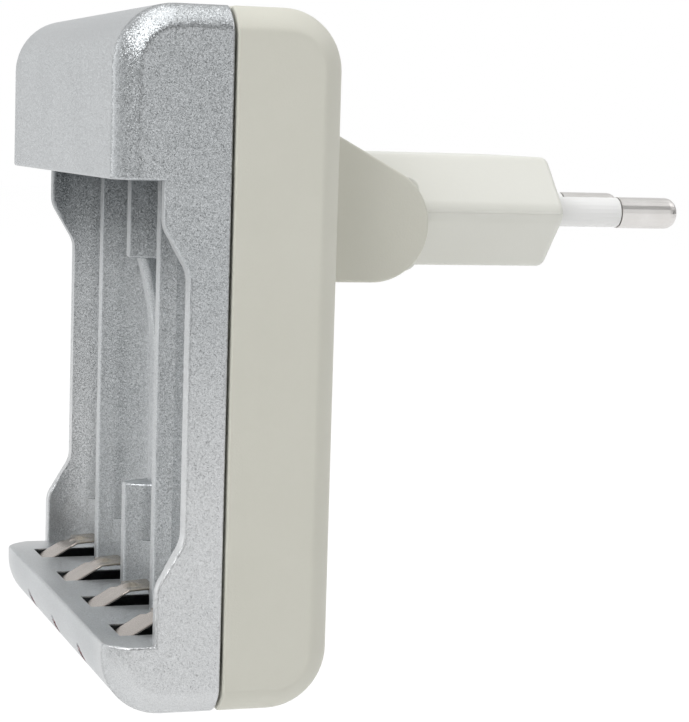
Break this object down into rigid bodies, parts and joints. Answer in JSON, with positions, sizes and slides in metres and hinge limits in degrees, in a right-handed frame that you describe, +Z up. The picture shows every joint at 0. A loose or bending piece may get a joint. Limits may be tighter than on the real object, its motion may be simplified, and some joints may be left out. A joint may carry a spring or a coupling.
{
  "type": "aa battery charger",
  "caption": "Plug-in battery charger: open bays for round cells in a silver cover, ivory back, and a round-pin plug that folds against the back.",
  "frame": {"origin": "centre of the plug's seating face, where the plug's axis meets it", "axes": "+Y into the wall socket, along the plug's axis; +Z up; the battery bays face -Y; X runs across the bays, from left to right seen from the front"},
  "size_m": [0.0666, 0.0796, 0.0804],
  "materials": {
    "silver_paint": "satin metallic-flake silver paint over plastic",
    "ivory_plastic": "fine-textured warm light grey plastic",
    "plug_plastic": "smooth satin warm light grey plastic",
    "nickel": "bright nickel plating",
    "white_plastic": "smooth white",
    "black_plastic": "moulded black",
    "red_lens": "clear dark red, glossy",
    "board_green": "green coated laminate",
    "ferrite": "dark grey sintered ferrite",
    "coil_tape": "yellow winding tape",
    "can_sleeve": "dark blue shrink sleeve",
    "steel": "bright zinc-plated"
  },
  "bodies": {
    "plug": {"plug_body": "plug_plastic", "pin_left": "nickel", "pin_right": "nickel", "pin_sleeve_left": "white_plastic", "pin_sleeve_right": "white_plastic"},
    "case": {"front_cover": "silver_paint", "back_cover": "ivory_plastic", "contact_holder": "black_plastic", "circuit_board": "board_green", "transformer_core": "ferrite", "transformer_coil": "coil_tape", "mains_capacitor": "can_sleeve", "output_capacitor": "can_sleeve", "rectifier": "black_plastic", "switching_chip": "black_plastic", "charge_controller": "black_plastic", "fuse": "white_plastic", "screw_left": "steel", "screw_right": "steel", "mains_blade_left": "nickel", "mains_blade_right": "nickel", "leaf_contact_1": "nickel", "leaf_contact_2": "nickel", "leaf_contact_3": "nickel", "leaf_contact_4": "nickel", "positive_contact_1": "nickel", "positive_contact_2": "nickel", "positive_contact_3": "nickel", "positive_contact_4": "nickel", "small_cell_contact_1": "nickel", "small_cell_contact_2": "nickel", "small_cell_contact_3": "nickel", "small_cell_contact_4": "nickel", "lamp_1": "red_lens", "lamp_2": "red_lens", "lamp_3": "red_lens"}
  },
  "joints": [
    {"name": "plug_fold", "type": "hinge", "parent": "plug", "child": "case", "pos_m": [0, -0.0262, -0.0015], "axis": [1, 0, 0], "range_deg": [0, 90]}
  ]
}
